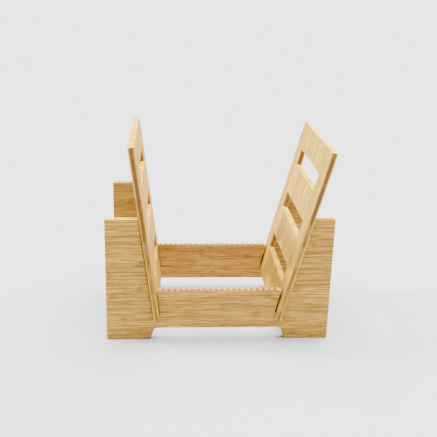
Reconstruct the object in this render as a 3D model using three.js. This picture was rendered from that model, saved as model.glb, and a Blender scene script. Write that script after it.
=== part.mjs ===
// Dish drying rack: four interlocking bamboo boards, no fasteners.
// Two upright boards with ridged rails stand parallel to the XZ plane and carry two panels that lean outward.
// Units are millimetres, +Z is up, X runs along the ridged rails, and the feet stand on Z = 0.
import * as THREE from 'three';

// Whole rack
const RACK_WIDTH = 360;
const STOCK = 10; // every board is cut from the same sheet
const ARRIS = 0.7; // eased edge on every board
const ARRIS_STEPS = 2;
const BOARD_CENTRES = 180; // distance between the two upright boards
const FIT_GAP = 0.3; // clearance where two boards meet

// Upright boards
const TOWER_HEIGHT = 208;
const TOWER_RADIUS = 1;
const RAIL_TOP = 84.2; // lowest line of the hollows between ridges
const RIDGE_COUNT = 21;
const RIDGE_HEIGHT = 3.5;
const RIDGE_STEPS = 12; // facets over one ridge
const ARCH_HEIGHT = 20;
const ARCH_TOP_HALF = 102;
const ARCH_FLOOR_HALF = 110;
const ARCH_RADIUS = 6;
const CORNER_STEPS = 5;

// Slots in the upright boards
const LAP_NOTCH = 10; // height of the notch in the panel that drops over the slot floor
// Play beside each panel: on its outer side, and on its inner side at the slot floor and at the rail top
const LEFT_PLAY = { outer: 1.3, floor: FIT_GAP, mouth: 0.6 };
const RIGHT_PLAY = { outer: FIT_GAP, floor: 1.8, mouth: 2.8 };

// Leaning panels, measured along their own slope from the lower edge
const PANEL_LENGTH = 292;
const PANEL_OVERHANG = 8; // how far a panel stands proud of each upright board
const PANEL_WIDTH = BOARD_CENTRES + STOCK + 2 * PANEL_OVERHANG;
const WINDOW_COUNT = 3;
const WINDOW_START = 55;
const WINDOW_PITCH = 81.7;
const WINDOW_HEIGHT = 29;
const WINDOW_MARGIN = 31;
const WINDOW_RADIUS = 1.5;
const PANEL_RADIUS = 1.5;

// Where the lower inner edge of each panel sits, and how far it leans from the vertical.
// side is the direction in which the panel leans along X.
const LEFT = { side: -1, x: -93.5, z: 36.6, lean: THREE.MathUtils.degToRad(7.7), play: LEFT_PLAY };
const RIGHT = { side: 1, x: 91.5, z: 36.6, lean: THREE.MathUtils.degToRad(14.4), play: RIGHT_PLAY };

// Materials
function bamboo(colour, roughness) {
  return new THREE.MeshStandardMaterial({ color: colour, roughness, metalness: 0 });
}

const BOARD_BAMBOO = bamboo(0xc9a26c, 0.55);
const PANEL_BAMBOO = bamboo(0xdcb986, 0.55);

// A point in the XZ plane: rise along the panel's slope, out through its thickness from the inner face.
function slopePoint(panel, rise, out) {
  const sin = Math.sin(panel.lean);
  const cos = Math.cos(panel.lean);
  const x = panel.x + panel.side * (rise * sin + out * cos);
  return new THREE.Vector2(x, panel.z + rise * cos - out * sin);
}

// How far up the slope the line at depth "out" reaches height z.
function riseAtHeight(panel, z, out) {
  return (z - panel.z + out * Math.sin(panel.lean)) / Math.cos(panel.lean);
}

// The arc that rounds the corner at "corner" between its two neighbours.
function roundedCorner(before, corner, after, radius) {
  const inward = before.clone().sub(corner).normalize();
  const onward = after.clone().sub(corner).normalize();
  const half = Math.acos(THREE.MathUtils.clamp(inward.dot(onward), -1, 1)) / 2;
  const bisector = inward.clone().add(onward).normalize();
  const centre = corner.clone().addScaledVector(bisector, radius / Math.sin(half));
  const start = corner.clone().addScaledVector(inward, radius / Math.tan(half)).sub(centre);
  const turn = inward.cross(onward) > 0 ? -1 : 1;
  const sweep = turn * (Math.PI - 2 * half);
  const points = [];
  for (let i = 0; i <= CORNER_STEPS; i += 1) {
    const arm = start.clone().rotateAround(new THREE.Vector2(), (sweep * i) / CORNER_STEPS);
    points.push(centre.clone().add(arm));
  }
  return points;
}

// A closed outline from corners given as { at, radius }; a corner without a radius stays sharp.
function outline(corners) {
  return corners.flatMap(({ at, radius }, i) => {
    if (!radius) {
      return [at];
    }
    const before = corners[(i + corners.length - 1) % corners.length].at;
    const after = corners[(i + 1) % corners.length].at;
    return roundedCorner(before, at, after, radius);
  });
}

function sharp(x, z) {
  return { at: new THREE.Vector2(x, z) };
}

function eased(x, z, radius) {
  return { at: new THREE.Vector2(x, z), radius };
}

// A flat board of the stock thickness with eased edges, lying on the XY plane.
function boardGeometry(shape) {
  return new THREE.ExtrudeGeometry(shape, {
    depth: STOCK - 2 * ARRIS,
    bevelEnabled: true,
    bevelThickness: ARRIS,
    bevelSize: ARRIS,
    bevelOffset: -ARRIS,
    bevelSegments: ARRIS_STEPS,
    curveSegments: CORNER_STEPS,
  }).translate(0, 0, ARRIS);
}

// One slot, from its tower side down to the floor and up to the mouth at the rail top.
function slotCorners(panel) {
  const floor = LAP_NOTCH - FIT_GAP;
  const { play } = panel;
  const outer = STOCK + play.outer;
  const towerTop = slopePoint(panel, riseAtHeight(panel, TOWER_HEIGHT, outer), outer);
  const floorOuter = slopePoint(panel, floor, outer);
  const floorInner = slopePoint(panel, floor, -play.floor);
  const mouth = slopePoint(panel, riseAtHeight(panel, RAIL_TOP, -play.mouth), -play.mouth);
  return [
    { at: towerTop, radius: TOWER_RADIUS },
    { at: floorOuter },
    { at: floorInner },
    { at: mouth },
  ];
}

// The wavy top of the rail between the two slot mouths, one wave to a ridge.
function ridgeCorners(from, to) {
  const corners = [];
  const steps = RIDGE_COUNT * RIDGE_STEPS;
  for (let i = 1; i < steps; i += 1) {
    const swell = (1 - Math.cos((2 * Math.PI * i) / RIDGE_STEPS)) / 2;
    const x = THREE.MathUtils.lerp(from.x, to.x, i / steps);
    corners.push(sharp(x, RAIL_TOP + RIDGE_HEIGHT * swell));
  }
  return corners;
}

// Outline of an upright board: two feet, an arch, two towers and the ridged rail between them.
function uprightShape() {
  const half = RACK_WIDTH / 2;
  const left = slotCorners(LEFT);
  const right = slotCorners(RIGHT);
  return new THREE.Shape(outline([
    eased(-half, 0, TOWER_RADIUS),
    sharp(-ARCH_FLOOR_HALF, 0),
    eased(-ARCH_TOP_HALF, ARCH_HEIGHT, ARCH_RADIUS),
    eased(ARCH_TOP_HALF, ARCH_HEIGHT, ARCH_RADIUS),
    sharp(ARCH_FLOOR_HALF, 0),
    eased(half, 0, TOWER_RADIUS),
    eased(half, TOWER_HEIGHT, TOWER_RADIUS),
    ...right,
    ...ridgeCorners(right.at(-1).at, left.at(-1).at),
    ...left.toReversed(),
    eased(-half, TOWER_HEIGHT, TOWER_RADIUS),
  ]));
}

// An upright board with its faces parallel to XZ, centred on y.
function uprightBoard(name, y) {
  const geometry = boardGeometry(uprightShape());
  geometry.rotateX(Math.PI / 2).translate(0, STOCK / 2, 0);
  const mesh = new THREE.Mesh(geometry, BOARD_BAMBOO);
  mesh.name = name;
  mesh.position.y = y;
  return mesh;
}

// One window through a panel, as an outline in (across the rack, up the slope).
function windowPath(index) {
  const halfLength = PANEL_WIDTH / 2 - WINDOW_MARGIN;
  const low = WINDOW_START + index * WINDOW_PITCH;
  const high = low + WINDOW_HEIGHT;
  return new THREE.Path(outline([
    eased(-halfLength, low, WINDOW_RADIUS),
    eased(halfLength, low, WINDOW_RADIUS),
    eased(halfLength, high, WINDOW_RADIUS),
    eased(-halfLength, high, WINDOW_RADIUS),
  ]));
}

// The notch in the lower edge that drops over an upright board centred on y.
function notchCorners(y) {
  const halfGap = STOCK / 2 + FIT_GAP;
  return [
    sharp(y - halfGap, 0),
    sharp(y - halfGap, LAP_NOTCH),
    sharp(y + halfGap, LAP_NOTCH),
    sharp(y + halfGap, 0),
  ];
}

// Outline of a leaning panel with two notches below and a ladder of windows.
function panelShape() {
  const half = PANEL_WIDTH / 2;
  const shape = new THREE.Shape(outline([
    eased(-half, 0, PANEL_RADIUS),
    ...notchCorners(-BOARD_CENTRES / 2),
    ...notchCorners(BOARD_CENTRES / 2),
    eased(half, 0, PANEL_RADIUS),
    eased(half, PANEL_LENGTH, PANEL_RADIUS),
    eased(-half, PANEL_LENGTH, PANEL_RADIUS),
  ]));
  for (let i = 0; i < WINDOW_COUNT; i += 1) {
    shape.holes.push(windowPath(i));
  }
  return shape;
}

// A panel whose lower inner edge lies on the panel's own origin, leaning towards its side.
function leaningPanel(name, panel) {
  const acrossThenUp = new THREE.Matrix4().makeBasis(
    new THREE.Vector3(0, 1, 0),
    new THREE.Vector3(0, 0, 1),
    new THREE.Vector3(1, 0, 0),
  );
  const geometry = boardGeometry(panelShape()).applyMatrix4(acrossThenUp);
  const mesh = new THREE.Mesh(geometry, PANEL_BAMBOO);
  mesh.name = name;
  mesh.position.set(panel.x, 0, panel.z);
  mesh.rotation.set(0, panel.side * panel.lean, panel.side < 0 ? Math.PI : 0);
  return mesh;
}

function dishRack() {
  const rack = new THREE.Group();
  rack.name = 'dish_drying_rack';
  rack.add(uprightBoard('front_board', -BOARD_CENTRES / 2));
  rack.add(uprightBoard('back_board', BOARD_CENTRES / 2));
  rack.add(leaningPanel('left_panel', LEFT));
  rack.add(leaningPanel('right_panel', RIGHT));
  return rack;
}

export default dishRack();
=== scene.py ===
"""Dish drying rack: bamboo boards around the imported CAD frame, with floor, light and camera."""

import math

import bpy
from mathutils import Matrix, Vector
from mathutils.geometry import tessellate_polygon


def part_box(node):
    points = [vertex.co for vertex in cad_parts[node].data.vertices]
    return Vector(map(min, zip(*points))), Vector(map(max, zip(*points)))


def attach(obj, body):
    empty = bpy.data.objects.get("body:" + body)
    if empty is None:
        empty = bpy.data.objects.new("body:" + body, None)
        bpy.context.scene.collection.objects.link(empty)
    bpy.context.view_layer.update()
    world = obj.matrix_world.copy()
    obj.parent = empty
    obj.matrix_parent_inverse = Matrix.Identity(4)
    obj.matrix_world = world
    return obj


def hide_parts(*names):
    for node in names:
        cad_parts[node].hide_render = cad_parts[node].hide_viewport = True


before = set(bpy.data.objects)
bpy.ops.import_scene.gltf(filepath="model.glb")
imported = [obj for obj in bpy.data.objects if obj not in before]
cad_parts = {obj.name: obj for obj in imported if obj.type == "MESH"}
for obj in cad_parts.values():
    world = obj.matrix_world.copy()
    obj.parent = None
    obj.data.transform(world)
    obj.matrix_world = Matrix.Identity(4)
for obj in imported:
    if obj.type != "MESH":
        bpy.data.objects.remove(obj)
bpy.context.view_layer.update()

MM = 0.001


def in_mm(length):
    """A length of the frame in millimetres, without the last digits that its 32-bit numbers add."""
    return round(length / MM, 3)


# ---------------------------------------------------------------- the rack's dimensions, in mm
front_low, front_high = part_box("front_board")
back_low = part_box("back_board")[0]
panel_low, panel_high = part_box("left_panel")
WIDTH = in_mm(front_high.x - front_low.x)
STOCK = in_mm(front_high.y - front_low.y)
TOWER_HEIGHT = in_mm(front_high.z)
BOARD_CENTRES = in_mm(back_low.y - front_low.y)
PANEL_WIDTH = in_mm(panel_high.y - panel_low.y)
FIT_GAP = 0.3
RAIL_TOP = 84.2  # lowest line of the hollows between ridges
RIDGES = 21
RIDGE_HEIGHT = 3.5
ARCH_HEIGHT = 20
ARCH_TOP_HALF = 102
ARCH_FLOOR_HALF = 110
LAP_NOTCH = 10
PANEL_LENGTH = 292
WINDOWS = 3
WINDOW_START = 55
WINDOW_PITCH = 81.7
WINDOW_HEIGHT = 29
WINDOW_MARGIN = 31

# Each panel: which way it leans, where its lower inner edge is, its lean, and the play beside it in its slot:
# on its outer side, and on its inner side at the slot floor and at the rail top.
LEFT = {"side": -1, "x": -93.5, "z": 36.6, "lean": math.radians(7.7), "play": (1.3, FIT_GAP, 0.6)}
RIGHT = {"side": 1, "x": 91.5, "z": 36.6, "lean": math.radians(14.4), "play": (FIT_GAP, 1.8, 2.8)}

# ---------------------------------------------------------------- smoothness of the visible meshes
ARRIS = 0.7  # eased edge on every board
ARRIS_STEPS = 4
RIDGE_STEPS = 20
CORNER_STEPS = 8
SMALL_RADIUS = 0.6
TOWER_RADIUS = 1.1
PANEL_RADIUS = 1.6
ARCH_RADIUS = 6
WINDOW_RADIUS = 1.6
SHARP_ANGLE = math.radians(38)


# ---------------------------------------------------------------- outlines
def slope_point(panel, rise, out):
    """A point on a panel in the XZ plane: rise up its slope, out from its inner face."""
    sin, cos = math.sin(panel["lean"]), math.cos(panel["lean"])
    x = panel["x"] + panel["side"] * (rise * sin + out * cos)
    return Vector((x, panel["z"] + rise * cos - out * sin))


def rise_at(panel, z, out):
    """How far up the slope the line at depth out reaches height z."""
    sin, cos = math.sin(panel["lean"]), math.cos(panel["lean"])
    return (z - panel["z"] + out * sin) / cos


def rounded(before, corner, after, radius):
    """The arc that rounds a corner between its two neighbours."""
    inward = (before - corner).normalized()
    onward = (after - corner).normalized()
    half = math.acos(max(-1, min(1, inward.dot(onward)))) / 2
    reach = radius / math.tan(half)
    centre = corner + (inward + onward).normalized() * (radius / math.sin(half))
    arm = corner + inward * reach - centre
    turn = -1 if inward.cross(onward) > 0 else 1
    sweep = turn * (math.pi - 2 * half)
    points = []
    for i in range(CORNER_STEPS + 1):
        points.append(centre + Matrix.Rotation(sweep * i / CORNER_STEPS, 2) @ arm)
    return points


def outline(corners):
    """A closed outline from (x, y, radius) corners; a corner with radius 0 stays sharp."""
    at = [Vector(c[:2]) for c in corners]
    points = []
    for i, corner in enumerate(corners):
        if corner[2]:
            points += rounded(at[i - 1], at[i], at[(i + 1) % len(at)], corner[2])
        else:
            points.append(at[i])
    return points


def slot(panel):
    """The four corners of a panel's slot, from the tower top round the slot floor to the rail top."""
    floor = LAP_NOTCH - FIT_GAP
    outer_play, floor_play, mouth_play = panel["play"]
    outer = STOCK + outer_play
    top = slope_point(panel, rise_at(panel, TOWER_HEIGHT, outer), outer)
    mouth = slope_point(panel, rise_at(panel, RAIL_TOP, -mouth_play), -mouth_play)
    return [
        (*top, TOWER_RADIUS),
        (*slope_point(panel, floor, outer), SMALL_RADIUS),
        (*slope_point(panel, floor, -floor_play), 0),
        (*mouth, 0),
    ]


def ridges(start, end):
    """The wavy rail top, one wave to a ridge, between the two slot mouths."""
    steps = RIDGES * RIDGE_STEPS
    for i in range(1, steps):
        swell = (1 - math.cos(2 * math.pi * i / RIDGE_STEPS)) / 2
        yield (start + (end - start) * i / steps, RAIL_TOP + RIDGE_HEIGHT * swell, 0)


def upright_outline():
    half = WIDTH / 2
    left, right = slot(LEFT), slot(RIGHT)
    return outline(
        [
            (-half, 0, TOWER_RADIUS),
            (-ARCH_FLOOR_HALF, 0, SMALL_RADIUS),
            (-ARCH_TOP_HALF, ARCH_HEIGHT, ARCH_RADIUS),
            (ARCH_TOP_HALF, ARCH_HEIGHT, ARCH_RADIUS),
            (ARCH_FLOOR_HALF, 0, SMALL_RADIUS),
            (half, 0, TOWER_RADIUS),
            (half, TOWER_HEIGHT, TOWER_RADIUS),
            *right,
            *ridges(right[-1][0], left[-1][0]),
            *reversed(left),
            (-half, TOWER_HEIGHT, TOWER_RADIUS),
        ]
    )


def window_outline(index):
    half = PANEL_WIDTH / 2 - WINDOW_MARGIN
    low = WINDOW_START + index * WINDOW_PITCH
    high = low + WINDOW_HEIGHT
    corners = ((low, -half), (high, -half), (high, half), (low, half))
    return outline([(x, y, WINDOW_RADIUS) for x, y in corners])


def panel_outline():
    """Up the slope is the first axis, because the grain runs that way."""
    half = PANEL_WIDTH / 2
    corners = [(0, half, PANEL_RADIUS)]
    for y in (BOARD_CENTRES / 2, -BOARD_CENTRES / 2):
        near, far = y + STOCK / 2 + FIT_GAP, y - STOCK / 2 - FIT_GAP
        corners += [
            (0, near, SMALL_RADIUS),
            (LAP_NOTCH, near, SMALL_RADIUS),
            (LAP_NOTCH, far, SMALL_RADIUS),
            (0, far, SMALL_RADIUS),
        ]
    corners += [
        (0, -half, PANEL_RADIUS),
        (PANEL_LENGTH, -half, PANEL_RADIUS),
        (PANEL_LENGTH, half, PANEL_RADIUS),
    ]
    return outline(corners)


# ---------------------------------------------------------------- boards
def signed_area(loop):
    """Positive where the loop runs anticlockwise."""
    return sum(a.cross(b) for a, b in zip(loop, loop[1:] + loop[:1])) / 2


def inset_loop(loop, distance):
    """The loop moved into the material, which lies on its left."""
    count = len(loop)
    moved = []
    for i, point in enumerate(loop):
        a = (point - loop[i - 1]).normalized()
        b = (loop[(i + 1) % count] - point).normalized()
        na, nb = Vector((-a.y, a.x)), Vector((-b.y, b.x))
        moved.append(point + (na + nb) * (distance / (1 + na.dot(nb))))
    return moved


def arris_profile():
    """(inset, height) pairs from one face's edge over the side to the other's; height 0 is the middle."""
    half = STOCK / 2
    steps = [math.pi / 2 * i / ARRIS_STEPS for i in range(ARRIS_STEPS + 1)]
    upper = [(ARRIS * (1 - math.cos(a)), half - ARRIS + ARRIS * math.sin(a)) for a in steps]
    return [(inset, -w) for inset, w in reversed(upper)] + upper


def board_mesh(name, outer, holes):
    """A flat board with eased edges: faces in its own XY plane, thickness along its own Z."""
    loops = [outer if signed_area(outer) > 0 else outer[::-1]]
    loops += [h if signed_area(h) < 0 else h[::-1] for h in holes]
    profile = arris_profile()
    verts, faces, ease, caps = [], [], [], ([], [])
    for loop in loops:
        count, first = len(loop), len(verts)
        for inset, w in profile:
            verts += [(p.x * MM, p.y * MM, w * MM) for p in inset_loop(loop, inset)]
            ease += [inset / ARRIS] * count
        for ring in range(len(profile) - 1):
            low = first + ring * count
            for i in range(count):
                j = (i + 1) % count
                faces.append((low + i, low + j, low + count + j, low + count + i))
        caps[0].append(range(first, first + count))
        last = first + (len(profile) - 1) * count
        caps[1].append(range(last, last + count))
    for rings, upward in zip(caps, (False, True)):
        index = [i for ring in rings for i in ring]
        flat = [[Vector(verts[i]) for i in ring] for ring in rings]
        for tri in tessellate_polygon(flat):
            a, b, c = (index[i] for i in tri)
            pa, pb, pc = (Vector(verts[i]) for i in (a, b, c))
            up = (pb - pa).cross(pc - pa).z > 0
            faces.append((a, b, c) if up == upward else (a, c, b))
    mesh = bpy.data.meshes.new(name)
    mesh.from_pydata(verts, [], faces)
    mesh.attributes.new("ease", "FLOAT", "POINT").data.foreach_set("value", ease)
    mesh.shade_smooth()
    mesh.set_sharp_from_angle(angle=SHARP_ANGLE)
    return mesh


def place_board(name, body, mesh, matrix, material):
    board = bpy.data.objects.new(name, mesh)
    bpy.context.scene.collection.objects.link(board)
    board.matrix_world = matrix
    mesh.materials.append(material)
    normals = board.modifiers.new("face_normals", "WEIGHTED_NORMAL")
    normals.keep_sharp = True
    normals.weight = 100
    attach(board, body)
    return board


def upright_matrix(y):
    """Own X along the rack, own Y up, own Z towards the front."""
    return Matrix.Translation((0, y * MM, 0)) @ Matrix.Rotation(math.pi / 2, 4, "X")


def panel_matrix(panel):
    """Own X up the slope, own Y along the rack's Y."""
    side, sin, cos = panel["side"], math.sin(panel["lean"]), math.cos(panel["lean"])
    middle = slope_point(panel, 0, STOCK / 2)
    up = Vector((side * sin, 0, cos))
    across = Vector((0, 1, 0))
    turn = Matrix((up, across, up.cross(across))).transposed().to_4x4()
    return Matrix.Translation((middle.x * MM, 0, middle.y * MM)) @ turn


# ---------------------------------------------------------------- sizes in the bamboo, in mm
STRIP_WIDTH = 11.0  # of the strips that a board's outer plies are glued up from
CROSS_STRIP_WIDTH = 19.0  # of the strips of its middle ply
CORE_HALF = 2.65  # from mid-thickness to the glue line beside the middle ply
NODE_SPACING = 250.0  # from one node of the stalk to the next
STALK_LENGTH = 900.0  # two strips start at most this far apart in their stalks
BOARD_STEP_ALONG = 731.0  # from one board's place in the pattern to the next one's, along the grain
BOARD_STEP_ACROSS = 257.0  # and across it
SHADE_AND_DUST_REACH = 8.0  # how near a neighbour must be for the painted shade in the joints and for their dust's roughness

# Where a change in the look begins and where it is complete, from the board's own origin
PANEL_FOOT_SHADE = (0, 170)  # up a panel, where its faces lose the painted shade of their lower end
CORE_FOOT = (40, 180)  # along the grain, where the middle ply gains its full strength
CORE_TOP = (100, 240)  # along the grain, where the middle ply gets darker
TOWER_LIGHT_ALONG = (70, 125)  # along the rack, where the painted light on the right-hand tower begins
TOWER_LIGHT_UP = (30, 120)  # up that tower, where that painted light grows
RAIL_FLOOR = (RAIL_TOP - 0.7, RAIL_TOP - 0.2)  # up an upright board, where the rail top begins
WAVE_SIDE = (RAIL_TOP + 0.3, RAIL_TOP + 2.6)  # up the waves of the rail top, from hollow to ridge
ABOVE_RAIL = (90, 100)  # up an upright board, where the rail top has ended
RAIL_END = (95, 100)  # from the middle of the rack, where the rail top has ended

# Numbers that keep the random draws apart
TONE_DRAW = 17.3
START_DRAW = 5.1
LAYER_DRAW = 37.7
RUN_DRAW = 1000.0

# ---------------------------------------------------------------- colours of the bamboo
CORE_PALE = (0.27, 0.160, 0.044, 1)
CORE_DARK = (0.12, 0.066, 0.020, 1)
# painted shade in the rail top's hollows
RAIL_HOLLOW_SHADE = (0.06, 0.028, 0.005, 1)
# painted shade in the joints and crevices
CREVICE_SHADE = (0.03, 0.012, 0.003, 1)

FRONT_LOOK = {
    "pale": (0.61, 0.340, 0.064, 1),  # between the fibres
    "mid": (0.48, 0.254, 0.041, 1),  # where the fibres are dense
    "dark": (0.09, 0.036, 0.004, 1),  # fibres, seams and glue
    "fibre": 1.0,  # strength of the dark fibres
    "strips": 0.34,  # range of tone from strip to strip
    "edge": (1.60, 1.70, 1.45, 1),  # tint of the edges along the grain, made paler as painted light on the lit tower tops
    "plain_edge": -0.3,  # change in the fibres on those edges
    "end": (0.80, 0.76, 0.72, 1),  # tint of the edges across the grain
    "core": 0.15,  # how far the middle ply shows on the edges
    "blotch": (0.55, 0.80),  # where its blotches begin and where they are darkest
    "rail": (0.33, 0.190, 0.033, 1),  # colour of the rail top, darker as painted shade on its waves
}
BACK_LOOK = {
    **FRONT_LOOK,
    # the back board's edges and rail top are darker than the front board's: painted shade
    "edge": (1.1, 1.05, 0.8, 1),
    "rail": (0.21, 0.124, 0.022, 1),
    "height_shade": 1.45,  # painted shade: loss of tone for each metre of height
    "tower_light": 0.55,  # painted light: gain of tone at the top of the right-hand tower
}
RIGHT_PANEL_LOOK = {
    "pale": (0.63, 0.378, 0.040, 1),
    "mid": (0.51, 0.286, 0.026, 1),
    "dark": (0.11, 0.048, 0.006, 1),
    "fibre": 1.25,
    "strips": 0.60,
    "edge": (1.12, 1.04, 1.15, 1),
    "plain_edge": -0.75,
    # ends paler than the boards', as painted light on the window sills and top edge
    "end": (1.32, 1.35, 1.2, 1),
    "core": 0.95,
    "blotch": (0.55, 0.78),
    "foot_shade": (0.56, 0.44, 0.32, 1),  # painted shade: tint of the faces at their lower end
}
LEFT_PANEL_LOOK = {
    **RIGHT_PANEL_LOOK,
    "pale": (0.63, 0.362, 0.030, 1),
    "mid": (0.51, 0.274, 0.020, 1),
    # less of that painted light on this panel's sills and top edge
    "end": (1.10, 1.14, 1.0, 1),
    "blotch": (0.45, 0.66),
}


# ---------------------------------------------------------------- materials
class Graph:
    """Short names for building one material's nodes."""

    def __init__(self, name):
        self.material = bpy.data.materials.new(name)
        self.material.use_nodes = True
        self.tree = self.material.node_tree
        self.tree.nodes.clear()

    def node(self, kind, inputs=(), **settings):
        node = self.tree.nodes.new(kind)
        for key, value in settings.items():
            setattr(node, key, value)
        for key, value in dict(inputs).items():
            if isinstance(value, bpy.types.NodeSocket):
                self.tree.links.new(value, node.inputs[key])
            else:
                node.inputs[key].default_value = value
        return node

    def math(self, operation, *values):
        return self.node("ShaderNodeMath", enumerate(values), operation=operation).outputs[0]

    def add(self, a, b):
        return self.math("ADD", a, b)

    def times(self, value, *factors):
        for factor in factors:
            value = self.math("MULTIPLY", value, factor)
        return value

    def scaled(self, value, factor, offset):
        """value * factor + offset"""
        return self.math("MULTIPLY_ADD", value, factor, offset)

    def magnitude(self, value):
        return self.math("ABSOLUTE", value)

    def from_middle(self, value):
        """How far the fraction of value is from a half."""
        return self.magnitude(self.math("SUBTRACT", self.math("FRACT", value), 0.5))

    def band(self, value, low, high, out_low=0.0, out_high=1.0):
        """A smooth step from out_low to out_high as value goes from low to high."""
        inputs = enumerate((value, low, high, out_low, out_high))
        return self.node("ShaderNodeMapRange", inputs, interpolation_type="SMOOTHSTEP").outputs[0]

    def join(self, x, y, z):
        return self.node("ShaderNodeCombineXYZ", enumerate((x, y, z))).outputs[0]

    def noise(self, vector, detail=2.0, roughness=0.5):
        inputs = {"Vector": vector, "Scale": 1.0, "Detail": detail, "Roughness": roughness}
        return self.node("ShaderNodeTexNoise", inputs).outputs["Fac"]

    def line_noise(self, value):
        inputs = {"W": value, "Scale": 1.0, "Detail": 1.0}
        return self.node("ShaderNodeTexNoise", inputs, noise_dimensions="1D").outputs["Fac"]

    def cells(self, vector):
        """Distance to the nearest of many scattered points, about a unit apart."""
        return self.node("ShaderNodeTexVoronoi", {"Vector": vector, "Scale": 1.0}).outputs["Distance"]

    def chance(self, value):
        """A fixed random number from 0 to 1 for each value."""
        return self.node("ShaderNodeTexWhiteNoise", {"W": value}, noise_dimensions="1D").outputs["Value"]

    def grey(self, value):
        return self.node("ShaderNodeCombineColor", {0: value, 1: value, 2: value}).outputs[0]

    def mix(self, factor, a, b, blend="MIX"):
        inputs = {0: factor, 6: a, 7: b}
        return self.node("ShaderNodeMix", inputs, data_type="RGBA", blend_type=blend).outputs[2]

    def tint(self, factor, colour, tint):
        """The colour multiplied by the tint, as far as factor says."""
        return self.mix(factor, colour, self.mix(1.0, colour, tint, "MULTIPLY"))


class Bamboo(Graph):
    """Board glued up from bamboo strips. Its own X runs along the grain, and its own Z through its plies."""

    def __init__(self, name, look, seed):
        super().__init__(name)
        self.look = look
        self.seed = seed
        self.find_place()
        self.find_strips()
        self.find_nodes()
        colour = self.fibred_colour()
        colour = self.toned(colour)
        colour = self.with_middle_ply(colour)
        colour = self.with_ends_and_edges(colour)
        colour = self.with_worn_and_highlit_arrises(colour)
        if "rail" in look:
            colour = self.with_shaded_rail(colour)
        self.shade(colour)

    def zone(self, value, limits, out_low=0.0, out_high=1.0):
        """A smooth step over a zone of the board, whose limits are in millimetres."""
        low, high = limits
        return self.band(value, low * MM, high * MM, out_low, out_high)

    def pattern_place(self, along, across, through=None):
        """A place in a noise pattern, one and the same through the thickness unless told otherwise."""
        return self.join(along, across, float(self.seed) if through is None else through)

    def find_place(self):
        """Where on the board a point is, and which way its surface faces."""
        surface = self.node("ShaderNodeTexCoord").outputs
        self.x, self.y, z = self.node("ShaderNodeSeparateXYZ", {0: surface["Object"]}).outputs
        self.along = self.scaled(self.x, 1 / MM, BOARD_STEP_ALONG * self.seed)
        straight_across = self.scaled(self.y, 1 / MM, BOARD_STEP_ACROSS * self.seed)
        self.depth = self.times(z, 1 / MM)

        # the ends, where the fibres are cut across, and the sawn edges along the grain
        facing = self.node("ShaderNodeSeparateXYZ", {0: surface["Normal"]}).outputs
        self.end = self.band(self.magnitude(facing[0]), 0.6, 0.9)
        self.side = self.band(self.magnitude(facing[1]), 0.6, 0.9)
        self.flat = self.magnitude(facing[2])
        self.on_face = self.scaled(self.side, self.look["plain_edge"], self.scaled(self.end, -0.85, 1.0))

        # the grain sways by up to a millimetre
        place = self.pattern_place(self.times(self.along, 0.004), self.times(straight_across, 0.01))
        self.across = self.add(self.noise(place, detail=0.0), straight_across)

    def find_strips(self):
        """Strips glued side by side, each cut from another length of stalk."""
        self.strip = self.math("DIVIDE", self.across, STRIP_WIDTH)
        number = self.math("FLOOR", self.strip)
        self.strip_tone = self.chance(self.add(number, TONE_DRAW * self.seed))
        start = self.chance(self.add(number, START_DRAW + self.seed))
        self.own_along = self.scaled(start, STALK_LENGTH, self.along)

        place = self.pattern_place(self.times(self.own_along, 0.05), self.times(self.across, 3.2), self.depth)
        self.hair = self.noise(place, detail=3.0, roughness=0.6)
        place = self.pattern_place(self.times(self.along, 0.010), self.times(self.across, 0.025))
        self.cloud = self.noise(place)

        # most seams between strips hardly show, a few are dark
        seam = self.band(self.from_middle(self.strip), 0.45, 0.48)
        darkness = self.band(self.chance(self.math("ROUND", self.strip)), 0.35, 0.75, 0.15, 1.0)
        self.seam = self.times(seam, darkness, self.band(self.cloud, 0.3, 0.6, 0.5, 1.0))

    def find_nodes(self):
        """The stalk's nodes: a thin bent line across a strip, with darker fibres on both sides of it."""
        place = self.pattern_place(self.times(self.across, 0.20), self.times(self.own_along, 0.02))
        bent = self.scaled(self.noise(place), 9.0, self.own_along)
        distance = self.from_middle(self.math("DIVIDE", bent, NODE_SPACING))
        distance = self.times(distance, NODE_SPACING)
        line = self.band(distance, 0.5, 1.6, 1.0, 0.0)
        self.node_line = self.times(line, self.band(self.hair, 0.35, 0.55, 0.3, 1.0), self.on_face)
        self.node_zone = self.band(distance, 1.5, 9.0, 1.0, 0.0)

    def fibres(self, width, length, low, high, draw):
        """Straight dark fibres in rows of one width and about one length. A higher low makes them scarcer."""
        row = self.math("DIVIDE", self.across, width)
        layer = self.math("FLOOR", self.math("DIVIDE", self.depth, width * 1.2))
        start = self.chance(self.scaled(layer, LAYER_DRAW, self.add(self.math("FLOOR", row), draw)))
        run = self.scaled(start, RUN_DRAW, self.times(self.own_along, 1 / length))
        mark = self.band(self.scaled(self.node_zone, 0.06, self.line_noise(run)), low, high)
        in_row = self.band(self.from_middle(row), 0.25, 0.5, self.look["fibre"], 0.0)
        return self.times(mark, self.on_face, in_row)

    def fibred_colour(self):
        look = self.look
        along, across = self.times(self.own_along, 0.009), self.times(self.across, 0.30)
        bundle = self.noise(self.pattern_place(along, across, self.depth))
        long = self.fibres(width=1.4, length=240, low=0.54, high=0.58, draw=3.3)
        self.middling = self.fibres(width=1.1, length=60, low=0.51, high=0.58, draw=29.1)
        fine = self.fibres(width=0.6, length=24, low=0.46, high=0.60, draw=61.7)
        marks = [
            (fine, 0.45),
            (self.middling, 0.80),
            (long, 1.0),
            (self.band(self.hair, 0.50, 0.75), 0.35),
            (self.node_line, 0.55),
            (self.seam, 0.75),
        ]
        colour = self.mix(self.band(bundle, 0.36, 0.64), look["pale"], look["mid"])
        for mark, strength in marks:
            colour = self.mix(self.times(mark, strength), colour, look["dark"])
        return colour

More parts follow.
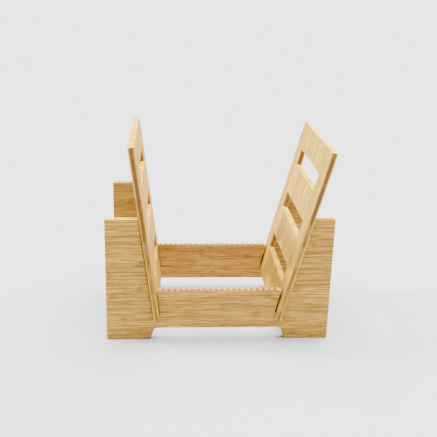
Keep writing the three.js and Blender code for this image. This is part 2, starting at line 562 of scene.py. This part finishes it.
    def toned(self, colour):
        """Strips and parts of a board differ in tone at random. Painted shade darkens the back board towards
        its top and the panels' lower ends, and painted light lifts the back board's right-hand tower.
        """
        look = self.look
        lift = self.scaled(self.strip_tone, look["strips"], 1.04 - look["strips"] / 2)
        lift = self.times(lift, self.scaled(self.cloud, 0.40, 0.80))
        # painted shade: the back board darker towards its top
        if "height_shade" in look:
            lift = self.times(lift, self.scaled(self.y, -look["height_shade"], 1.0))
        # painted light: the back board's right-hand tower paler towards its top
        if "tower_light" in look:
            tower = self.times(self.zone(self.x, TOWER_LIGHT_ALONG), self.zone(self.y, TOWER_LIGHT_UP))
            lift = self.times(lift, self.scaled(tower, look["tower_light"], 1.0))
        colour = self.mix(1.0, colour, self.grey(lift), "MULTIPLY")
        # painted shade: the panels' faces darker and more orange at their lower end
        if "foot_shade" in look:
            off_edges = self.math("SUBTRACT", 1.0, self.side)
            foot_shade = self.times(self.zone(self.x, PANEL_FOOT_SHADE, 1.0, 0.0), off_edges)
            colour = self.tint(foot_shade, colour, look["foot_shade"])
        return colour

    def middle_ply_colour(self):
        """Strips that run across the board and end on its long edges, dotted there with their cut fibres."""
        dark = self.look["dark"]
        strip = self.math("DIVIDE", self.along, CROSS_STRIP_WIDTH)
        strip_tone = self.chance(self.math("FLOOR", strip))
        seam = self.band(self.from_middle(strip), 0.465, 0.495)
        cut_place = (self.times(value, 1.3) for value in (self.along, self.across, self.depth))
        cut_fibres = self.band(self.cells(self.join(*cut_place)), 0.20, 0.48, 1.0, 0.0)
        place = self.pattern_place(self.times(self.along, 0.05), self.times(self.across, 0.05))
        blotch = self.scaled(strip_tone, 0.35, self.noise(place))
        blotch = self.scaled(self.zone(self.x, CORE_TOP), 0.15, blotch)
        colour = self.mix(self.band(blotch, *self.look["blotch"]), CORE_PALE, CORE_DARK)
        colour = self.mix(self.times(cut_fibres, 0.55), colour, dark)
        return self.mix(self.times(seam, 0.5), colour, dark)

    def with_middle_ply(self, colour):
        """The darker middle ply shows on the edges, between two glue lines."""
        strength = self.look["core"]
        height = self.magnitude(self.depth)
        core = self.band(height, CORE_HALF - 0.15, CORE_HALF + 0.15, 1.0, 0.0)
        core = self.times(core, self.zone(self.x, CORE_FOOT, 0.75, 1.0), self.scaled(self.end, -0.75, 1.0))
        glue = self.band(height, CORE_HALF - 0.25, CORE_HALF - 0.05)
        glue = self.times(glue, self.band(height, CORE_HALF + 0.05, CORE_HALF + 0.25, 1.0, 0.0))
        colour = self.mix(self.times(core, strength), colour, self.middle_ply_colour())
        return self.mix(self.times(glue, 0.6 * strength), colour, self.look["dark"])

    def with_ends_and_edges(self, colour):
        """Pores of the cut fibres on the ends, and the tones of the ends and of the edges along the grain."""
        place = self.join(0.0, self.times(self.across, 1.3), self.times(self.depth, 1.3))
        self.pores = self.times(self.end, self.band(self.cells(place), 0.16, 0.34, 1.0, 0.0))
        colour = self.mix(self.times(self.pores, 0.25), colour, self.look["dark"])
        colour = self.tint(self.end, colour, self.look["end"])
        return self.tint(self.side, colour, self.look["edge"])

    def with_worn_and_highlit_arrises(self, colour):
        """The eased edges are a little paler: wear, and a painted highlight along them."""
        ease = self.node("ShaderNodeAttribute", attribute_name="ease").outputs["Fac"]
        wear_and_highlight = self.times(self.band(ease, 0.02, 0.5), self.band(self.hair, 0.3, 0.6, 0.6, 0.2))
        return self.mix(wear_and_highlight, colour, self.look["pale"])

    def with_shaded_rail(self, colour):
        """The wavy rail top has its own darker colour, darkest in its hollows: painted shade."""
        on_top = self.band(self.flat, 0.3, 0.8, 0.9, 0.0)
        on_top = self.times(on_top, self.zone(self.y, RAIL_FLOOR), self.zone(self.y, ABOVE_RAIL, 1.0, 0.0))
        on_top = self.times(on_top, self.zone(self.magnitude(self.x), RAIL_END, 1.0, 0.0))
        rail_shade = self.mix(self.zone(self.y, WAVE_SIDE), RAIL_HOLLOW_SHADE, self.look["rail"])
        return self.mix(on_top, colour, rail_shade)

    def shade(self, colour):
        """Painted shade darkening the joints and crevices, dust there that roughens them, the grain's relief,
        and a satin surface.
        """
        # The occlusion darkens the colour in the joints and crevices: painted shade. It also roughens them,
        # for their dust.
        inputs = {"Distance": SHADE_AND_DUST_REACH * MM}
        openness = self.node("ShaderNodeAmbientOcclusion", inputs, samples=8).outputs["AO"]
        shade_and_dust = self.band(openness, 0.15, 0.62, 0.90, 0.0)
        colour = self.mix(shade_and_dust, colour, CREVICE_SHADE)

        relief = self.scaled(self.middling, -0.35, self.times(self.hair, 0.5))
        relief = self.scaled(self.seam, -0.6, relief)
        relief = self.scaled(self.node_line, 0.35, relief)
        relief = self.scaled(self.pores, -0.8, relief)
        inputs = {"Height": relief, "Strength": 0.35, "Distance": 0.25 * MM}
        bump = self.node("ShaderNodeBump", inputs).outputs[0]
        roughness = self.math("MAXIMUM", self.band(self.hair, 0.3, 0.75, 0.50, 0.66), shade_and_dust)
        shader = self.node(
            "ShaderNodeBsdfPrincipled",
            {"Base Color": colour, "Roughness": roughness, "Normal": bump, "Specular IOR Level": 0.06},
        )
        self.node("ShaderNodeOutputMaterial", {0: shader.outputs[0]})


# ---------------------------------------------------------------- the four boards
upright = upright_outline()
half_gap = BOARD_CENTRES / 2
for name, y, look, seed in (
    ("front_board", -half_gap, FRONT_LOOK, 1),
    ("back_board", half_gap, BACK_LOOK, 2),
):
    piece = name + "_bamboo"
    board = place_board(
        piece,
        "boards",
        board_mesh(piece, upright, []),
        upright_matrix(y),
        Bamboo(piece, look, seed).material,
    )
    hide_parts(name)

windows = [window_outline(i) for i in range(WINDOWS)]
for name, panel, look, seed in (
    ("left_panel", LEFT, LEFT_PANEL_LOOK, 3),
    ("right_panel", RIGHT, RIGHT_PANEL_LOOK, 4),
):
    piece = name + "_bamboo"
    board = place_board(
        piece,
        name,
        board_mesh(piece, panel_outline(), windows),
        panel_matrix(panel),
        Bamboo(piece, look, seed).material,
    )
    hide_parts(name)


# ---------------------------------------------------------------- stage and light
FLOOR_REACH = 40
FLOOR_DROP = 0.0002  # keeps the floor off the undersides of the feet
FLOOR_COLOUR = (0.345, 0.345, 0.348, 1)
HORIZON_GLOW = 3.2
SKY_GLOW = 0.3
HORIZON_DEPTH = 0.16  # sine of the elevation where the horizon's glow ends


def stage_floor():
    g = Graph("floor")
    shader = g.node(
        "ShaderNodeBsdfPrincipled",
        {"Base Color": FLOOR_COLOUR, "Roughness": 0.9, "Specular IOR Level": 0.0},
    )
    g.node("ShaderNodeOutputMaterial", {0: shader.outputs[0]})
    mesh = bpy.data.meshes.new("floor")
    corners = [(x * FLOOR_REACH, y * FLOOR_REACH, 0) for x, y in ((-1, -1), (1, -1), (1, 1), (-1, 1))]
    mesh.from_pydata(corners, [], [(0, 1, 2, 3)])
    mesh.materials.append(g.material)
    floor = bpy.data.objects.new("floor", mesh)
    floor.location.z = -FLOOR_DROP
    bpy.context.scene.collection.objects.link(floor)


def studio_world():
    """A dim white room that brightens to the floor's tone at the horizon."""
    world = bpy.data.worlds.new("studio")
    world.use_nodes = True
    nodes, links = world.node_tree.nodes, world.node_tree.links
    height = nodes.new("ShaderNodeSeparateXYZ")
    links.new(nodes.new("ShaderNodeTexCoord").outputs["Generated"], height.inputs[0])
    glow = nodes.new("ShaderNodeMapRange")
    glow.interpolation_type = "SMOOTHSTEP"
    links.new(height.outputs["Z"], glow.inputs["Value"])
    glow.inputs["From Min"].default_value = 0.0
    glow.inputs["From Max"].default_value = HORIZON_DEPTH
    glow.inputs["To Min"].default_value = HORIZON_GLOW
    glow.inputs["To Max"].default_value = SKY_GLOW
    links.new(glow.outputs[0], nodes["Background"].inputs["Strength"])
    nodes["Background"].inputs["Color"].default_value = (1, 1, 1, 1)
    bpy.context.scene.world = world


def soft_light(name, towards, angle, strength):
    """A far, round, white light in the direction given, as wide as its angle in degrees."""
    data = bpy.data.lights.new(name, "SUN")
    data.angle = math.radians(angle)
    data.energy = strength
    light = bpy.data.objects.new(name, data)
    light.rotation_euler = Vector(towards).to_track_quat("Z", "Y").to_euler()
    bpy.context.scene.collection.objects.link(light)


stage_floor()
studio_world()
soft_light("key", towards=(-2.5, 0.45, 1.60), angle=4, strength=6.4)
soft_light("overhead", towards=(0.05, 0.15, 1), angle=60, strength=24.0)
soft_light("right_fill", towards=(2.2, 1.2, 1.9), angle=60, strength=3.6)


# ---------------------------------------------------------------- camera
CAMERA_PLACE = (-0.0847, -1.0646, 0.5916)
CAMERA_YAW = math.radians(2.549)  # from the rack's Y towards its X
CAMERA_PITCH = math.radians(16.924)  # down from level
CAMERA_ROLL = math.radians(-0.952)

camera_data = bpy.data.cameras.new("camera")
camera_data.sensor_width = 36
camera_data.lens = 55.45
camera_data.shift_x = 0.054
camera_data.shift_y = -0.122
camera = bpy.data.objects.new("camera", camera_data)
camera.matrix_world = (
    Matrix.Translation(CAMERA_PLACE)
    @ Matrix.Rotation(-CAMERA_YAW, 4, "Z")
    @ Matrix.Rotation(math.pi / 2 - CAMERA_PITCH, 4, "X")
    @ Matrix.Rotation(-CAMERA_ROLL, 4, "Z")
)
bpy.context.scene.collection.objects.link(camera)
bpy.context.scene.camera = camera
